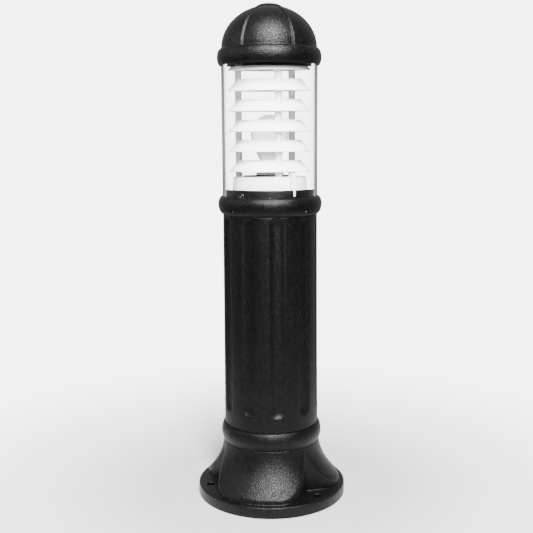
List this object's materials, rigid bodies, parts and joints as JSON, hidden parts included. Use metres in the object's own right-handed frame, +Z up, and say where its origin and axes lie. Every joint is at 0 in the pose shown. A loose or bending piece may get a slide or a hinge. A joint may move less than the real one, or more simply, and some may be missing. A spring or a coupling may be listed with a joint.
{
  "type": "bollard light",
  "caption": "Garden bollard light: fluted black column on a lobed bolt-down foot, with a clear tube, a white louvre stack and a domed cap that lifts off to reach a screw-in lamp.",
  "frame": {"origin": "centre of the foot flange's underside, on the ground", "axes": "+Z up along the column's axis; -Y towards the skirt's front lobe; +X to the right seen from the front"},
  "size_m": [0.246, 0.246, 0.8],
  "materials": {
    "black_resin": "fine-grain textured moulded resin with a low satin sheen",
    "white_louvre": "smooth satin white moulded plastic",
    "clear_tube": "clear polished polycarbonate",
    "gasket_rubber": "soft matt rubber",
    "screw_steel": "bright stainless steel",
    "bracket_steel": "zinc-plated pressed steel",
    "black_nylon": "semi-matt moulded nylon",
    "terminal_plastic": "cream moulded plastic",
    "contact_brass": "plain brass",
    "holder_ceramic": "white glazed ceramic",
    "wire_insulation": "heat-resistant silicone sleeve",
    "lamp_metal": "bright nickel-plated thin metal",
    "lamp_insulator": "black vitrite glass",
    "opal_glass": "opal white glass"
  },
  "bodies": {
    "post": {"base": "black_resin", "column": "black_resin", "column_screws": "screw_steel", "cable_gland": "black_nylon", "gland_nut": "black_nylon", "terminal_block": "terminal_plastic", "terminal_screws": "contact_brass", "lamp_bracket": "bracket_steel", "bracket_screws": "screw_steel", "holder_body": "holder_ceramic", "holder_shell": "contact_brass", "holder_contact": "contact_brass", "holder_screws": "screw_steel", "holder_plate": "black_nylon", "shade_ring": "holder_ceramic", "lamp_wires": "wire_insulation"},
    "head": {"collar": "black_resin", "collar_screws": "screw_steel", "lower_gasket": "gasket_rubber", "clear_tube": "clear_tube", "upper_gasket": "gasket_rubber", "louvre_base": "white_louvre", "louvre_ring_1": "white_louvre", "louvre_ring_2": "white_louvre", "louvre_ring_3": "white_louvre", "louvre_ring_4": "white_louvre", "louvre_ring_5": "white_louvre", "louvre_ring_6": "white_louvre", "tie_rods": "screw_steel", "tie_washers": "screw_steel", "tie_nuts": "screw_steel", "dome": "black_resin"},
    "lamp_slide": {"lamp_contact": "lamp_metal"},
    "lamp": {"lamp_insulator": "lamp_insulator", "lamp_cap": "lamp_metal", "lamp_bulb": "opal_glass"}
  },
  "joints": [
    {"name": "head_lift", "type": "slide", "parent": "post", "child": "head", "axis": [0, 0, 1], "range_m": [0, 0.2]},
    {"name": "lamp_rise", "type": "slide", "parent": "post", "child": "lamp_slide", "axis": [0, 0, 1], "range_m": [0, 0.0109]},
    {"name": "lamp_turn", "type": "hinge", "parent": "lamp_slide", "child": "lamp", "pos_m": [0, 0, 0.6], "axis": [0, 0, 1], "range_deg": [0, 1080]}
  ],
  "couplings": [
    {"joint": "lamp_rise", "follows": "lamp_turn", "m_per_rad": 0.00057757}
  ]
}
